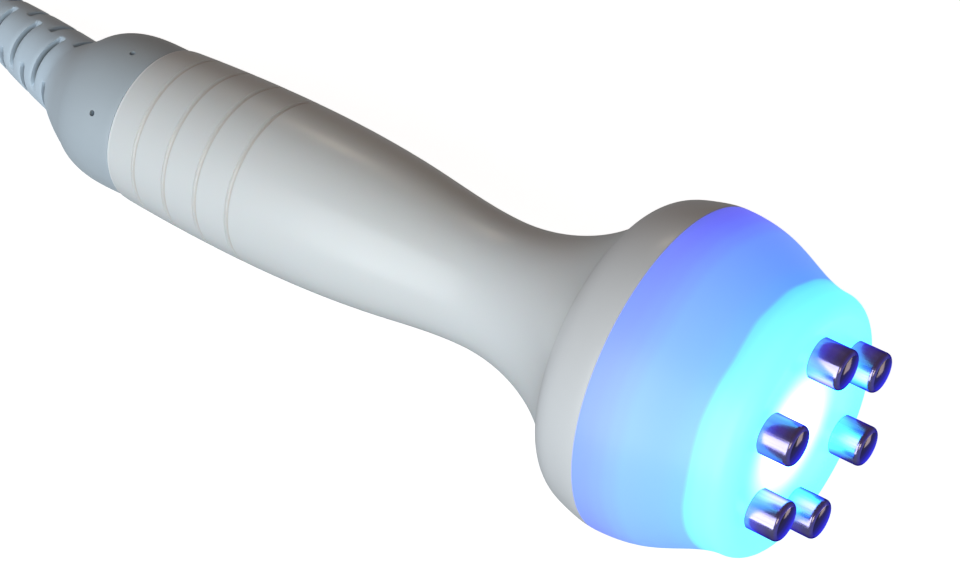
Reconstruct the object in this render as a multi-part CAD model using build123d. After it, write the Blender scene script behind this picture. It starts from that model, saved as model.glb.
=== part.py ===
from build123d import *
import os
from math import cos, pi, radians, sin, tan

# Corded six-electrode beauty handpiece with a lit lens.
# The handpiece lies along X with its electrode tips at X = 0 and its cable end at minus X.
# Profiles are (x, radius) pairs turned about X. Angles round the axis run from +Y toward +Z.

# Lengths along the axis, stacked back from the electrode tips
electrode_proud = 6.8
lens_depth = 28.4
cup_depth = 11.8
handle_length = 118.7

# Handle outside
handle_tail_r = 17.15
handle_belly_r = 18.0
handle_mid_r = 15.85
neck_r = 13.55
flare_mid_r = 18.0
flare_r = 28.3
belly_from_tail = 27.0
mid_from_neck = 22.5
neck_from_crease = 30.5
flare_mid_from_crease = 13.0
handle_edge_r = 0.7
handle_tail_slope = 0.06
flare_slope = 1.2
groove_count = 4
groove_first = 8.0
groove_pitch = 8.67
groove_round_r = 0.6
groove_depth = 0.42

# Handle inside
tail_wall = 2.75
plug_bore_depth = 15.0
tray_step = 1.2
neck_wall = 2.65
shoulder_from_neck = 19.5
throat_from_neck = 9.5
mouth_wall = 5.7
tongue_inset = 2.0
tongue_wall = 1.4
tongue_height = 1.0
mouth_slope = 1.0
slip = 0.15
cut_past = 1.0

# Head cup
head_r = 33.15
cup_step = 0.7
cup_edge_r = 0.5
cup_swell = ((0.22, 0.62), (0.58, 0.9))
cup_slopes = ((0.4, 1), (1, 0.02))
cup_web = 3.2
cup_wall = 2.3
seal_ledge = 1.3
web_hole_r = 14.5
gasket_thick = 0.5
cup_screw_count = 4
cup_screw_circle_r = 19.0
cup_boss_r = 3.0
cup_boss_length = 9.5
cup_screw_length = 9.0
cup_screw_first_deg = 45.0

# Machine screws of the head and the cable clamp
screw_r = 1.25
screw_head_r = 2.3
screw_head_height = 1.7
screw_head_edge_r = 0.65
screw_slot_width = 0.5
screw_slot_depth = 0.85
screw_slot_r = 1.4
screw_slack = 0.2
thread_gap = 0.05

# Lens
lens_shoulder_drop = 1.3
shoulder_from_rim = 9.2
step_drop = 4.5
step_from_rim = 20.2
boss_drop = 0.85
boss_corner_r = 4.0
lens_front_wall = 2.4
lens_wall = 2.3
lens_shoulder_wall = 2.9
lens_step_wall = 1.3
lens_corner_wall = 2.8
lens_front_slope = -0.06
lens_inner_slopes = (-0.12, -0.3)
spigot_length = 4.6
spigot_wall = 2.1
lens_seal_thick = 0.6
lens_seal_width = 1.0
snap_height = 0.35
snap_width = 1.0
snap_from_rim = 3.0

# Electrodes
electrode_count = 6
electrode_r = 4.0
electrode_circle_r = 17.0
electrode_edge_r = 1.0
ring_clock_deg = 83.6
shank_r = 2.0
shank_gap = 0.12
shank_past_nut = 1.5
seal_depth = 0.6
seal_r = 3.3
spacer_r = 3.4
spacer_length = 5.6
washer_r = 4.3
washer_thick = 0.5
terminal_r = 3.9
terminal_thick = 0.8
terminal_barrel_r = 1.6
terminal_barrel_length = 7.1
terminal_circle_r = 10.5
nut_across_flats = 7.0
nut_height = 3.2

# Light
led_board_clearance = 3.05
led_board_thick = 1.6
led_size = 5.0
led_height = 1.6
led_window_r = 1.9
led_window_depth = 0.8
led_circle_r = 11.0
resistor_length = 3.2
resistor_width = 1.6
resistor_height = 0.6
resistor_from_edge = 4.0
led_header_width = 7.5
led_header_depth = 5.8
led_header_height = 4.0
led_plug_length = 6.0
led_plug_inset = 0.6
led_latch_width = 2.1
led_lead_r = 0.65
led_lead_pitch = 2.5

# Leads from the head to the handle
lead_r = 0.9
lead_neck_circle_r = 7.6
lead_straight = 14.0
lead_before_neck = 13.5
lead_past_neck = 4.5
lead_plug_run = 6.0
lead_pitch = 2.2
lead_plug_height = 5.0
lead_plug_length = 4.0
lead_plug_lift = 1.5
lead_plug_from_shoulder = 2.0
lead_header_length = 7.0
lead_header_wall = 1.0

# Junction board and the carrier that holds it in the handle
board_length = 46.0
board_width = 22.0
board_thick = 1.6
board_top_z = -2.5
board_from_shoulder = 4.0
carrier_deck = 2.0
carrier_wall = 1.9
standoff_height = 2.0
standoff_r = 2.4
board_screw_y = 8.3
board_screw_from_front = 12.0
board_screw_spacing = 21.0
board_screw_r = 1.1
board_screw_head_r = 1.9
board_screw_head_height = 1.3
board_screw_length = 5.0
board_screw_slot_length = 2.5
board_screw_slot_depth = 0.65
film_cap_count = 3
film_cap_size = (3.6, 8.0, 6.0)
film_cap_pitch = 4.6
film_cap_from_centre = 0.6
round_cap_r = 3.1
round_cap_height = 7.0
round_cap_edge_r = 0.5
round_cap_from_screw = 6.3
chip_size = (5.0, 4.0, 1.6)
chip_from_screw = 14.7
component_y = 5.5
terminal_block_length = 9.0
terminal_block_height = 8.0
terminal_block_end = 1.0
terminal_block_side = 0.2
terminal_ways = 7
terminal_pitch = 2.5
terminal_screw_r = 0.95
terminal_screw_depth = 3.0
terminal_screw_sink = 0.4
terminal_slot_width = 0.4
terminal_slot_depth = 0.4
terminal_wire_r = 0.8
terminal_wire_height = 2.8

# Tail plug and cable clamp
plug_flange_step = 0.6
plug_flange_thick = 2.5
plug_wall = 2.25
plug_bead_height = 0.35
plug_bead_width = 1.2
plug_bead_from_nose = 4.8
seal_groove_width = 2.0
seal_groove_depth = 1.05
seal_groove_from_nose = 9.8
cable_r = 3.3
cable_gap = 0.3
saddle_length = 10.0
saddle_width = 18.0
saddle_height = 8.5
clamp_length = 8.0
clamp_height = 6.0
clamp_screw_y = 6.3
clamp_screw_length = 12.0

# Tail boot: bulb, bent root and slotted strain relief in one moulding
boot_seam = 0.2
boot_lip = 1.6
boot_cavity_length = 12.3
boot_throat_length = 6.0
bend_from_tail = 20.5
bend_deg = 12.2
bend_r = 30.0
relief_length = 49.8
boot_step = 0.05
bulb_crown_drop = 0.8
bulb_crown_from_bend = 8.2
bend_radii = (14.3, 12.2, 10.25)
relief_neck_r = 9.2
relief_neck_from_bend = 8.0
relief_mid_r = 8.3
relief_mid_from_bend = 20.0
relief_end_r = 5.0
relief_edge_r = 0.8
boot_front_slope = -0.02
bend_slopes = (-0.68, -0.586)
relief_end_slope = -0.11
slot_count = 8
slot_first = 5.2
slot_pitch = 4.82
slot_width = 1.2
slot_centre_deg = (34.0, 135.0)
slot_half_deg = (56.0, 42.0)
slot_floor_wall = 1.2
pinhole_r = 0.65
pinhole_depth = 1.8
pinhole_from_tail = 5.7
pinhole_deg = (94.0, 148.0, 274.0, 328.0)

# Stations along the axis
x_front = -electrode_proud
x_front_in = x_front - lens_front_wall
x_rim = x_front - lens_depth
x_crease = x_rim - cup_depth
x_tail = x_crease - handle_length
x_neck = x_crease - neck_from_crease
x_shoulder = x_neck - shoulder_from_neck
x_throat = x_neck + throat_from_neck
x_seat = x_tail + plug_bore_depth
x_web = x_crease + cup_web
x_board = x_front_in - spacer_length
x_board_back = x_board - led_board_thick
x_terminal = x_board_back - washer_thick
x_nut = x_terminal - terminal_thick
x_shank_end = x_nut - nut_height - shank_past_nut
x_barrel_end = x_terminal - terminal_barrel_length
x_led_plug = x_board_back - led_header_height
x_led_plug_end = x_led_plug - led_plug_length
x_lead_plug = x_shoulder - lead_plug_from_shoulder
x_lead_header = x_lead_plug - lead_plug_length
x_circuit = x_shoulder - board_from_shoulder
x_flange = x_tail - plug_flange_thick
x_boot = x_tail - boot_seam
x_bend = x_tail - bend_from_tail

# Radii that follow from a neighbour and a wall
plug_bore_r = handle_tail_r - tail_wall
tray_bore_r = plug_bore_r - tray_step
neck_bore_r = neck_r - neck_wall
mouth_r = flare_r - mouth_wall
tongue_in_r = mouth_r + tongue_inset
cup_back_r = flare_r + cup_step
lens_shoulder_r = head_r - lens_shoulder_drop
step_r = lens_shoulder_r - step_drop
boss_r = step_r - boss_drop
led_board_r = step_r - lens_step_wall - led_board_clearance
resistor_circle_r = led_board_r - resistor_from_edge
plug_flange_r = plug_bore_r + plug_flange_step
boot_lip_r = plug_flange_r - boot_lip
boot_front_r = handle_tail_r - boot_step
bulb_crown_r = boot_front_r - bulb_crown_drop

# Sizes that follow from a fit
plug_spigot_r = plug_bore_r - slip
carrier_r = tray_bore_r - slip
spigot_r = head_r - cup_wall
rebate_r = spigot_r + slip
cup_bore_r = rebate_r - seal_ledge
shank_hole_r = shank_r + shank_gap
screw_hole_r = screw_r + screw_slack
board_bottom_z = board_top_z - board_thick
deck_top_z = board_bottom_z - standoff_height
deck_bottom_z = deck_top_z - carrier_deck
lead_ways = electrode_count + 2
lead_row_width = lead_ways * lead_pitch
lead_row_z = board_top_z + lead_plug_lift + lead_plug_height / 2
bend_reach = bend_r * tan(radians(bend_deg / 2))
bend_dir = Vector(-cos(radians(bend_deg)), sin(radians(bend_deg)), 0)
bend_point = Vector(x_bend, 0, 0)

os.makedirs("parts", exist_ok=True)


def keep(name, shape):
    export_step(shape, f"parts/{name}.step")


def rod(x_a, x_b, radius):
    return Pos((x_a + x_b) / 2, 0, 0) * Rot(0, 90, 0) * Cylinder(radius, abs(x_b - x_a))


def ring(x_a, x_b, outer, inner):
    return rod(x_a, x_b, outer) - rod(x_a, x_b, inner)


def block(x_a, x_b, y_a, y_b, z_a, z_b):
    centre = Pos((x_a + x_b) / 2, (y_a + y_b) / 2, (z_a + z_b) / 2)
    return centre * Box(abs(x_b - x_a), abs(y_b - y_a), abs(z_b - z_a))


def panel(x_a, x_b, r_a, r_b):
    return Pos((x_a + x_b) / 2, (r_a + r_b) / 2) * Rectangle(abs(x_b - x_a), abs(r_b - r_a))


def section(edges):
    return make_face(Curve() + edges)


def turned(edges):
    return revolve(section(edges), Axis.X)


def round_axis(angles, shape):
    return [Rot(a, 0, 0) * shape for a in angles]


def steps(count, first_deg=0.0):
    return [first_deg + 360.0 * i / count for i in range(count)]


def radius_at(edge, x):
    low, high = 0.0, 1.0
    for _ in range(40):
        half = (low + high) / 2
        if (edge @ half).X < x:
            low = half
        else:
            high = half
    return (edge @ low).Y


cup_screw_deg = steps(cup_screw_count, cup_screw_first_deg)
electrode_deg = steps(electrode_count, ring_clock_deg)
led_deg = steps(electrode_count, ring_clock_deg + 180.0 / electrode_count)


# Handle shell
def handle_back():
    return Spline(
        [
            (x_tail, handle_tail_r),
            (x_tail + belly_from_tail, handle_belly_r),
            (x_neck - mid_from_neck, handle_mid_r),
            (x_neck, neck_r),
        ],
        tangents=[(1, handle_tail_slope), (1, 0)],
    )


def handle_outside(back):
    flare = Spline(
        [(x_neck, neck_r), (x_crease - flare_mid_from_crease, flare_mid_r), (x_crease, flare_r)],
        tangents=[(1, 0), (1, flare_slope)],
    )
    close = Polyline((x_crease, flare_r), (x_crease, 0), (x_tail, 0), (x_tail, handle_tail_r))
    outside = section([back, flare, close])
    corner = outside.vertices().sort_by_distance((x_tail, handle_tail_r, 0))[0]
    return fillet([corner], handle_edge_r)


def handle_inside():
    bore = Polyline(
        (x_tail, 0),
        (x_tail, plug_bore_r),
        (x_seat, plug_bore_r),
        (x_seat, tray_bore_r),
        (x_shoulder, tray_bore_r),
        (x_shoulder, neck_bore_r),
        (x_throat, neck_bore_r),
    )
    flare = Spline([(x_throat, neck_bore_r), (x_crease, mouth_r)], tangents=[(1, 0), (1, mouth_slope)])
    close = Polyline((x_crease, mouth_r), (x_crease, 0), (x_tail, 0))
    return section([bore, flare, close])


def handle_shell():
    back = handle_back()
    outside = handle_outside(back)
    wall = outside - handle_inside()
    for i in range(groove_count):
        x = x_tail + groove_first + i * groove_pitch
        centre_r = radius_at(back, x) + groove_round_r - groove_depth
        wall -= Pos(x, centre_r) * Circle(groove_round_r)
    x_bead = x_seat - plug_bead_from_nose
    half = plug_bead_width / 2 + slip
    wall -= panel(x_bead - half, x_bead + half, plug_bore_r - cut_past, plug_bore_r + plug_bead_height + slip)
    shell = revolve(wall, Axis.X)
    inside_of_skin = revolve(outside, Axis.X)
    boss = Pos(0, cup_screw_circle_r, 0) * rod(x_crease - cup_boss_length, x_crease, cup_boss_r)
    x_pilot = x_web - cup_screw_length - screw_slack
    pilot = Pos(0, cup_screw_circle_r, 0) * rod(x_pilot, x_crease, screw_r + thread_gap)
    for a in cup_screw_deg:
        shell += (Rot(a, 0, 0) * boss) & inside_of_skin
    for a in cup_screw_deg:
        shell -= Rot(a, 0, 0) * pilot
    return shell + ring(x_crease, x_crease + tongue_height, tongue_in_r + tongue_wall, tongue_in_r)


# Head cup with its web, the groove for the handle's tongue and the rebate for the lens
def head_cup():
    middle = [(x_crease + cup_depth * u, cup_back_r + (head_r - cup_back_r) * v) for u, v in cup_swell]
    outside = Spline([(x_crease, cup_back_r), *middle, (x_rim, head_r)], tangents=cup_slopes)
    close = Polyline((x_rim, head_r), (x_rim, 0), (x_crease, 0), (x_crease, cup_back_r))
    cup = turned([outside, close])
    back_edge = cup.edges().filter_by(GeomType.CIRCLE).sort_by(Axis.X)[0]
    cup = fillet([back_edge], cup_edge_r)
    x_rebate = x_rim - spigot_length - lens_seal_thick
    cup -= rod(x_web, x_rim, cup_bore_r)
    cup -= rod(x_rebate, x_rim, rebate_r)
    cup -= rod(x_crease, x_web, web_hole_r)
    groove_in = tongue_in_r - slip
    groove_out = tongue_in_r + tongue_wall + slip
    cup -= ring(x_crease, x_crease + tongue_height + gasket_thick, groove_out, groove_in)
    hole = Pos(0, cup_screw_circle_r, 0) * rod(x_crease, x_web, screw_hole_r)
    for a in cup_screw_deg:
        cup -= Rot(a, 0, 0) * hole
    x_snap = x_rim - snap_from_rim
    half = snap_width / 2 + slip
    cup -= ring(x_snap - half, x_snap + half, rebate_r + snap_height, rebate_r - cut_past)
    return cup


def head_gasket():
    top = x_crease + tongue_height
    return ring(top, top + gasket_thick, tongue_in_r + tongue_wall, tongue_in_r)


def pan_screw(length):
    shank = rod(0, -length, screw_r)
    head = rod(0, screw_head_height, screw_head_r)
    head = fillet(head.edges().filter_by(GeomType.CIRCLE).sort_by(Axis.X)[-1:], screw_head_edge_r)
    x_floor = screw_head_height - screw_slot_depth
    half = screw_slot_width / 2
    slot = block(x_floor, screw_head_height, -screw_slot_r, screw_slot_r, -half, half)
    return shank + (head - slot - Rot(90, 0, 0) * slot)


def cup_screws():
    screw = Pos(x_web, cup_screw_circle_r, 0) * pan_screw(cup_screw_length)
    return Compound(children=round_axis(cup_screw_deg, screw))


# Lens: dome, soft step, front boss and the spigot that snaps into the cup
def lens_outside():
    dome = Spline(
        [
            (x_rim, head_r),
            (x_rim + shoulder_from_rim, lens_shoulder_r),
            (x_rim + step_from_rim, step_r),
            (x_front - boss_corner_r, boss_r),
        ],
        tangents=[(1, 0), (1, lens_front_slope)],
    )
    turn = boss_corner_r * cos(radians(45))
    corner = ThreePointArc(
        (x_front - boss_corner_r, boss_r),
        (x_front - boss_corner_r + turn, boss_r - boss_corner_r + turn),
        (x_front, boss_r - boss_corner_r),
    )
    close = Polyline((x_front, boss_r - boss_corner_r), (x_front, 0), (x_rim, 0), (x_rim, head_r))
    return turned([dome, corner, close])


def lens_cover():
    x_spigot = x_rim - spigot_length
    in_r = spigot_r - spigot_wall
    shell = lens_outside() + rod(x_spigot, x_rim, spigot_r)
    x_snap = x_rim - snap_from_rim
    shell += rod(x_snap - snap_width / 2, x_snap + snap_width / 2, spigot_r + snap_height)
    shoulder = (x_rim + shoulder_from_rim, lens_shoulder_r - lens_shoulder_wall)
    step = (x_rim + step_from_rim - lens_wall, step_r - lens_step_wall)
    corner = (x_front_in, boss_r - lens_corner_wall)
    dome = Spline([shoulder, step, corner], tangents=[(1, slope) for slope in lens_inner_slopes])
    close = Polyline(corner, (x_front_in, 0), (x_spigot, 0), (x_spigot, in_r), shoulder)
    shell -= turned([dome, close])
    hole = Pos(0, electrode_circle_r, 0) * rod(x_front_in, x_front, shank_hole_r)
    recess = Pos(0, electrode_circle_r, 0) * rod(x_front - seal_depth, x_front, seal_r + slip)
    for a in electrode_deg:
        shell -= Rot(a, 0, 0) * hole
        shell -= Rot(a, 0, 0) * recess
    return shell


def lens_seal():
    x_end = x_rim - spigot_length
    return ring(x_end - lens_seal_thick, x_end, spigot_r, spigot_r - lens_seal_width)


# One electrode with its threaded shank, and the stack that clamps it
def electrode():
    head = rod(x_front, 0, electrode_r)
    tip = head.edges().filter_by(GeomType.CIRCLE).sort_by(Axis.X)[-1:]
    head = fillet(tip, electrode_edge_r)
    return Pos(0, electrode_circle_r, 0) * (head + rod(x_shank_end, x_front, shank_r))


def stack(x_a, x_b, outer):
    return Pos(0, electrode_circle_r, 0) * ring(x_a, x_b, outer, shank_hole_r)


def electrode_nut():
    hexagon = extrude(Plane.YZ * RegularPolygon(nut_across_flats / 2, 6, major_radius=False), nut_height)
    nut = hexagon - rod(0, nut_height, shank_r + thread_gap)
    return Pos(x_nut - nut_height, electrode_circle_r, 0) * nut


def ring_terminal():
    eye = stack(x_nut, x_terminal, terminal_r)
    inner = terminal_circle_r
    outer = electrode_circle_r - (terminal_r + shank_hole_r) / 2
    tongue = block(x_nut, x_terminal, inner, outer, -terminal_barrel_r, terminal_barrel_r)
    barrel = Pos(0, terminal_circle_r, 0) * rod(x_barrel_end, x_terminal, terminal_barrel_r)
    return eye + tongue + barrel


# LED board and what is soldered to it
def led_board():
    board = rod(x_board_back, x_board, led_board_r)
    hole = Pos(0, electrode_circle_r, 0) * rod(x_board_back, x_board, shank_hole_r)
    for a in electrode_deg:
        board -= Rot(a, 0, 0) * hole
    return board


def led():
    half = led_size / 2
    y = led_circle_r
    body = block(x_board, x_board + led_height, y - half, y + half, -half, half)
    dish = Pos(0, y, 0) * rod(x_board + led_height - led_window_depth, x_board + led_height, led_window_r)
    return body - dish


def led_resistor():
    half_l = resistor_length / 2
    half_w = resistor_width / 2
    y = resistor_circle_r
    return block(x_board_back - resistor_height, x_board_back, y - half_w, y + half_w, -half_l, half_l)


def led_header():
    half_w = led_header_width / 2
    half_d = led_header_depth / 2
    return block(x_led_plug, x_board_back, -half_w, half_w, -half_d, half_d)


def led_plug():
    half_w = led_header_width / 2 - led_plug_inset
    half_d = led_header_depth / 2 - led_plug_inset
    half_l = led_latch_width / 2
    body = block(x_led_plug_end, x_led_plug, -half_w, half_w, -half_d, half_d)
    latch = block(x_led_plug_end, x_led_plug, -half_l, half_l, half_d, half_d + led_plug_inset)
    return body + latch


# Leads: each one is swept along straight runs joined by arcs
def lead(points, radius):
    runs = [b - a for a, b in zip(points, points[1:])]
    bends = []
    for before, after in zip(runs, runs[1:]):
        turn = radians(before.get_angle(after))
        bends.append(0.45 * min(before.length, after.length) / tan(turn / 2))
    path = FilletPolyline(*points, radius=bends)
    profile = Plane(origin=path @ 0, z_dir=path % 0) * Circle(radius)
    wire = sweep(profile, path=path)
    straight = pi * radius**2 * path.length
    print(f"lead radii {[round(b, 1) for b in bends]} volume ratio {wire.volume / straight:.3f}")
    return wire


def at_angle(x, radius, deg):
    return Vector(x, radius * cos(radians(deg)), radius * sin(radians(deg)))


def lead_row(index):
    return (index - (lead_ways - 1) / 2) * lead_pitch


def lead_tail(y):
    return [Vector(x, y, lead_row_z) for x in (x_lead_plug + lead_plug_run, x_lead_plug)]


def electrode_lead(deg, y_end):
    start = [
        at_angle(x_barrel_end, terminal_circle_r, deg),
        at_angle(x_barrel_end - lead_straight, terminal_circle_r, deg),
        at_angle(x_neck + lead_before_neck, lead_neck_circle_r, deg),
        at_angle(x_neck - lead_past_neck, lead_neck_circle_r, deg),
    ]
    return lead(start + lead_tail(y_end), lead_r)


def led_lead(side, y_end):
    y = side * led_lead_pitch / 2
    start = [Vector(x_led_plug_end, y, 0), Vector(x_neck - lead_past_neck, y, 0)]
    return lead(start + lead_tail(y_end), led_lead_r)


# Junction board, its carrier and its components
def board_screw_places():
    x_first = x_circuit - board_screw_from_front
    return [(x, y) for x in (x_first, x_first - board_screw_spacing) for y in (-board_screw_y, board_screw_y)]


def upright(x, y, z_a, z_b, radius):
    return Pos(x, y, (z_a + z_b) / 2) * Cylinder(radius, abs(z_b - z_a))


def board_carrier():
    below = block(x_seat, x_shoulder, -carrier_r, carrier_r, -carrier_r, deck_top_z)
    hollow_below = block(x_seat, x_shoulder, -carrier_r, carrier_r, -carrier_r, deck_bottom_z)
    trough = rod(x_seat, x_shoulder, carrier_r) & below
    trough -= rod(x_seat, x_shoulder, carrier_r - carrier_wall) & hollow_below
    for x, y in board_screw_places():
        trough += upright(x, y, deck_top_z, board_bottom_z, standoff_r)
    for x, y in board_screw_places():
        trough -= upright(x, y, deck_bottom_z, board_bottom_z, board_screw_r + thread_gap)
    return trough


def junction_board():
    half = board_width / 2
    board = block(x_circuit - board_length, x_circuit, -half, half, board_bottom_z, board_top_z)
    for x, y in board_screw_places():
        board -= upright(x, y, board_bottom_z, board_top_z, board_screw_r + slip)
    return board


def board_screws():
    screws = []
    for x, y in board_screw_places():
        head_top = board_top_z + board_screw_head_height
        screw = upright(x, y, board_top_z, head_top, board_screw_head_r)
        screw += upright(x, y, board_top_z - board_screw_length, board_top_z, board_screw_r)
        slot = Box(board_screw_slot_length, screw_slot_width, board_screw_slot_depth * 2)
        screw -= Pos(x, y, head_top) * slot
        screws.append(screw)
    return Compound(children=screws)


def lead_header():
    half = lead_row_width / 2 + lead_header_wall
    top = lead_row_z + lead_plug_height / 2
    return block(x_lead_header - lead_header_length, x_lead_header, -half, half, board_top_z, top)


def lead_plug():
    half = lead_row_width / 2
    low = lead_row_z - lead_plug_height / 2
    return block(x_lead_header, x_lead_plug, -half, half, low, low + lead_plug_height)


def film_caps():
    length, width, height = film_cap_size
    x_first = x_circuit - board_screw_from_front - standoff_r - length
    caps = []
    for i in range(film_cap_count):
        x = x_first - i * film_cap_pitch
        y = -film_cap_from_centre
        caps.append(block(x - length / 2, x + length / 2, y - width, y, board_top_z, board_top_z + height))
    return Compound(children=caps)


def round_cap():
    x = x_circuit - board_screw_from_front - round_cap_from_screw
    cap = upright(x, component_y, board_top_z, board_top_z + round_cap_height, round_cap_r)
    return fillet(cap.edges().sort_by(Axis.Z)[-1:], round_cap_edge_r)


def driver_chip():
    length, width, height = chip_size
    x = x_circuit - board_screw_from_front - chip_from_screw
    y = component_y
    top = board_top_z + height
    return block(x - length / 2, x + length / 2, y - width / 2, y + width / 2, board_top_z, top)


def terminal_places():
    x = x_circuit - board_length + terminal_block_end + terminal_block_length / 2
    return [(x, (i - (terminal_ways - 1) / 2) * terminal_pitch) for i in range(terminal_ways)]


def cable_terminals():
    half = terminal_ways * terminal_pitch / 2 + terminal_block_side
    x_end = x_circuit - board_length + terminal_block_end
    top = board_top_z + terminal_block_height
    body = block(x_end, x_end + terminal_block_length, -half, half, board_top_z, top)
    entry_z = board_top_z + terminal_wire_height
    for x, y in terminal_places():
        body -= upright(x, y, top - terminal_screw_depth, top, terminal_screw_r + thread_gap)
        body -= Pos(0, y, entry_z) * rod(x_end, x, terminal_wire_r)
    return body


def terminal_screws():
    top = board_top_z + terminal_block_height
    screws = []
    for x, y in terminal_places():
        head_top = top - terminal_screw_sink
        screw = upright(x, y, top - terminal_screw_depth, head_top, terminal_screw_r)
        screw -= Pos(x, y, head_top) * Box(terminal_slot_width, terminal_screw_r * 3, terminal_slot_depth * 2)
        screws.append(screw)
    return Compound(children=screws)


# Tail plug, its seal and the clamp for the cable
def tail_plug():
    plug = rod(x_flange, x_tail, plug_flange_r)
    plug += ring(x_tail, x_seat, plug_spigot_r, plug_spigot_r - plug_wall)
    x_bead = x_seat - plug_bead_from_nose
    half = plug_bead_width / 2
    plug += ring(x_bead - half, x_bead + half, plug_spigot_r + plug_bead_height, plug_spigot_r - cut_past)
    x_seal = x_seat - seal_groove_from_nose
    half = seal_groove_width / 2
    plug -= ring(x_seal - half, x_seal + half, plug_spigot_r + cut_past, plug_spigot_r - seal_groove_depth)
    half_w = saddle_width / 2
    plug += block(x_flange - saddle_length, x_flange, -half_w, half_w, -saddle_height, 0)
    plug -= rod(x_flange - saddle_length, x_tail, cable_r + cable_gap)
    pilot_end = clamp_height - clamp_screw_length - screw_slack
    for y in (-clamp_screw_y, clamp_screw_y):
        plug -= upright(clamp_x(), y, pilot_end, 0, screw_r + thread_gap)
    return plug


def clamp_x():
    return x_flange - saddle_length / 2


def tail_seal():
    floor_r = plug_spigot_r - seal_groove_depth
    thick = (plug_bore_r - floor_r) / 2 - thread_gap
    x_seal = x_seat - seal_groove_from_nose
    return Pos(x_seal, 0, 0) * Rot(0, 90, 0) * Torus((plug_bore_r + floor_r) / 2, thick)


def cable_clamp():
    half_l = clamp_length / 2
    half_w = saddle_width / 2
    bar = block(clamp_x() - half_l, clamp_x() + half_l, -half_w, half_w, 0, clamp_height)
    bar -= rod(clamp_x() - half_l, clamp_x() + half_l, cable_r + cable_gap)
    for y in (-clamp_screw_y, clamp_screw_y):
        bar -= upright(clamp_x(), y, 0, clamp_height, screw_hole_r)
    return bar


def clamp_screws():
    screw = Rot(0, -90, 0) * pan_screw(clamp_screw_length)
    places = [Pos(clamp_x(), y, clamp_height) for y in (-clamp_screw_y, clamp_screw_y)]
    return Compound(children=[p * screw for p in places])


# Tail boot
def relief_place(distance):
    return Location(bend_point + bend_dir * distance, (0, 0, -bend_deg))


def boot_bulb():
    x_crown = x_bend + bulb_crown_from_bend
    side = Spline(
        [(x_boot, boot_front_r), (x_crown, bulb_crown_r), (x_bend + bend_reach, bend_radii[0])],
        tangents=[(-1, boot_front_slope), (-1, bend_slopes[0])],
    )
    x_end = x_bend + bend_reach
    close = Polyline((x_end, bend_radii[0]), (x_end, 0), (x_boot, 0), (x_boot, boot_front_r))
    return turned([side, close])


def boot_root():
    half = radians(bend_deg / 2)
    inside = Vector(sin(half), cos(half), 0) * (bend_r / cos(half) - bend_r)
    places = [
        (bend_point + Vector(bend_reach, 0, 0), Vector(-1, 0, 0)),
        (bend_point + inside, Vector(-cos(half), sin(half), 0)),
        (bend_point + bend_dir * bend_reach, bend_dir),
    ]
    sections = []
    for (origin, along), radius in zip(places, bend_radii):
        sections.append(Plane(origin=origin, x_dir=(0, 0, 1), z_dir=along) * Circle(radius))
    return loft(sections)


def boot_relief():
    edge = relief_edge_r
    end = -relief_length
    side = Spline(
        [
            (-bend_reach, bend_radii[2]),
            (-relief_neck_from_bend, relief_neck_r),
            (-relief_mid_from_bend, relief_mid_r),
            (end + edge, relief_end_r),
        ],
        tangents=[(-1, bend_slopes[1]), (-1, relief_end_slope)],
    )
    turn = edge * cos(radians(45))
    tip = ThreePointArc(
        (end + edge, relief_end_r),
        (end + edge - turn, relief_end_r - edge + turn),
        (end, relief_end_r - edge),
    )
    close = Polyline((end, relief_end_r - edge), (end, 0), (-bend_reach, 0), (-bend_reach, bend_radii[2]))
    return relief_place(0) * turned([side, tip, close])


def boot_slots():
    cuts = []
    depth = bend_radii[0]
    for i in range(slot_count):
        along = slot_first + i * slot_pitch
        local_r = relief_neck_r + (relief_end_r - relief_neck_r) * along / relief_length
        floor = max(local_r * cos(radians(slot_half_deg[i % 2])), cable_r + slot_floor_wall)
        cutter = Pos(0, floor + depth / 2, 0) * Box(slot_width, depth, 4 * depth)
        for turn in (0, 180):
            cuts.append(relief_place(along) * (Rot(slot_centre_deg[i % 2] + turn, 0, 0) * cutter))
    return cuts


def boot_bore():
    end = bend_point + bend_dir * relief_length
    path = FilletPolyline(Vector(x_boot, 0, 0), bend_point, end, radius=bend_r)
    return sweep(Plane(origin=path @ 0, z_dir=path % 0) * Circle(cable_r), path=path)


def tail_boot():
    boot = boot_bulb() + boot_root() + boot_relief()
    for cut in boot_slots():
        boot -= cut
    x_cavity = x_flange - boot_cavity_length
    x_throat_end = x_cavity - boot_throat_length
    boot -= rod(x_flange, x_boot, plug_flange_r + slip)
    cavity = Polyline(
        (x_flange, 0),
        (x_flange, boot_lip_r),
        (x_cavity, boot_lip_r),
        (x_throat_end, cable_r),
        (x_throat_end, 0),
        (x_flange, 0),
    )
    boot -= turned([cavity])
    boot -= boot_bore()
    x_pin = x_tail - pinhole_from_tail
    pin = Pos(x_pin, boot_front_r, 0) * Rot(90, 0, 0) * Cylinder(pinhole_r, pinhole_depth * 2)
    for a in pinhole_deg:
        boot -= Rot(a, 0, 0) * pin
    return boot


def build_head():
    keep("head_cup", head_cup())
    keep("head_gasket", head_gasket())
    keep("cup_screws", cup_screws())
    keep("lens_cover", lens_cover())
    keep("lens_seal", lens_seal())
    one = electrode()
    for i, a in enumerate(electrode_deg):
        keep(f"electrode_{i + 1}", Rot(a, 0, 0) * one)
    seal = Pos(0, electrode_circle_r, 0) * ring(x_front - seal_depth, x_front, seal_r, shank_hole_r)
    groups = {
        "electrode_seals": seal,
        "electrode_spacers": stack(x_board, x_front_in, spacer_r),
        "electrode_washers": stack(x_terminal, x_board_back, washer_r),
        "ring_terminals": ring_terminal(),
        "electrode_nuts": electrode_nut(),
    }
    for name, piece in groups.items():
        keep(name, Compound(children=round_axis(electrode_deg, piece)))


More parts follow.
